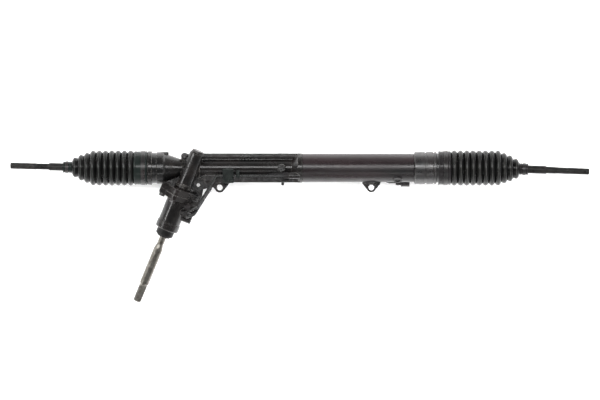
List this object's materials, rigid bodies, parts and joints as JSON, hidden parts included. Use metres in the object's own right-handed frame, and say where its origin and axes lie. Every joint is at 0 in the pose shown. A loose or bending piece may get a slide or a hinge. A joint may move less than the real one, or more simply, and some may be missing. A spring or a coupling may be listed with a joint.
{
  "type": "steering rack",
  "caption": "Power-assisted rack-and-pinion steering gear with a ribbed housing, hydraulic cylinder, valve tower, bellows boots and threaded tie rods.",
  "frame": {"origin": "midway between the two mounting holes, on the seating face of the ears", "axes": "+X along the rack, towards the cylinder end; +Z along the mounting bolts, away from the face that seats"},
  "size_m": [1.2162, 0.3236, 0.0887],
  "materials": {
    "black_paint": "semi-gloss black paint on cast and drawn metal",
    "cylinder_paint": "semi-gloss black paint on a steel tube",
    "bare_steel": "turned steel, lightly tarnished",
    "rod_steel": "blackened steel with worn edges",
    "polished_steel": "ground and polished steel",
    "boot_rubber": "matt black bellows rubber",
    "soft_rubber": "matt black seal rubber",
    "clip_plastic": "dark moulded plastic",
    "bearing_plastic": "off-white bearing plastic",
    "bronze": "sintered bronze",
    "line_steel": "black-coated steel line",
    "fastener_steel": "blackened fasteners"
  },
  "bodies": {
    "housing": {"gear_housing": "black_paint", "cylinder_tube": "cylinder_paint", "cylinder_bracket": "black_paint", "end_collar": "black_paint", "left_rack_bush": "bearing_plastic", "right_rack_bush": "bearing_plastic", "inner_rod_seal": "soft_rubber", "outer_rod_seal": "soft_rubber", "inner_cylinder_bush": "bronze", "outer_cylinder_bush": "bronze", "pinion_end_cap": "fastener_steel", "pinion_lower_bearing": "polished_steel", "pinion_upper_bearing": "polished_steel", "flange_seal": "soft_rubber", "rack_support_yoke": "bare_steel", "yoke_liner": "bearing_plastic", "yoke_spring": "fastener_steel", "yoke_plug": "fastener_steel", "valve_housing": "black_paint", "valve_flange_bolts": "fastener_steel", "input_shaft_bearing": "polished_steel", "input_shaft_seal": "soft_rubber", "seal_retaining_ring": "fastener_steel", "dust_cap": "soft_rubber", "short_pressure_line": "line_steel", "long_pressure_line": "line_steel", "line_union_nuts": "fastener_steel", "line_clip": "clip_plastic", "small_line_clip": "clip_plastic", "breather_plug": "fastener_steel", "left_boot": "boot_rubber", "right_boot": "boot_rubber", "left_boot_clamp": "fastener_steel", "right_boot_clamp": "fastener_steel"},
    "rack": {"rack_bar": "polished_steel", "piston": "bare_steel", "piston_ring": "bearing_plastic", "left_ball_socket": "bare_steel", "right_ball_socket": "bare_steel", "left_lock_washer": "bare_steel", "right_lock_washer": "bare_steel"},
    "pinion": {"pinion": "polished_steel", "valve_sleeve": "polished_steel", "valve_sleeve_rings": "bearing_plastic"},
    "input_shaft": {"input_shaft": "bare_steel", "torsion_bar": "polished_steel", "torsion_bar_pin": "polished_steel"},
    "left_seat": {"left_ball_seat": "bearing_plastic"},
    "right_seat": {"right_ball_seat": "bearing_plastic"},
    "left_rod": {"left_tie_rod": "rod_steel", "left_boot_clip": "fastener_steel"},
    "right_rod": {"right_tie_rod": "rod_steel", "right_boot_clip": "fastener_steel"}
  },
  "joints": [
    {"name": "rack_slide", "type": "slide", "parent": "housing", "child": "rack", "axis": [1, 0, 0], "range_m": [-0.07, 0.07], "deforming": ["left_boot", "right_boot"]},
    {"name": "pinion_spin", "type": "hinge", "parent": "housing", "child": "pinion", "pos_m": [-0.2195, 0.03808, 0.03345], "axis": [-0.3795, -0.9125, -0.1528], "range_deg": [-501.8, 501.8]},
    {"name": "valve_twist", "type": "hinge", "parent": "pinion", "child": "input_shaft", "pos_m": [-0.2195, 0.03808, 0.03345], "axis": [-0.3795, -0.9125, -0.1528], "range_deg": [-4, 4], "stiffness_Nm_per_rad": 60},
    {"name": "left_rod_sway", "type": "hinge", "parent": "rack", "child": "left_seat", "pos_m": [-0.415, 0.041, 0.016], "axis": [0, 0, 1], "range_deg": [-10, 10]},
    {"name": "left_rod_lift", "type": "hinge", "parent": "left_seat", "child": "left_rod", "pos_m": [-0.415, 0.041, 0.016], "axis": [0, 1, 0], "range_deg": [-15, 15]},
    {"name": "right_rod_sway", "type": "hinge", "parent": "rack", "child": "right_seat", "pos_m": [0.415, 0.041, 0.016], "axis": [0, 0, 1], "range_deg": [-10, 10]},
    {"name": "right_rod_lift", "type": "hinge", "parent": "right_seat", "child": "right_rod", "pos_m": [0.415, 0.041, 0.016], "axis": [0, 1, 0], "range_deg": [-15, 15]}
  ],
  "couplings": [
    {"joint": "pinion_spin", "follows": "rack_slide", "rad_per_m": 125}
  ]
}
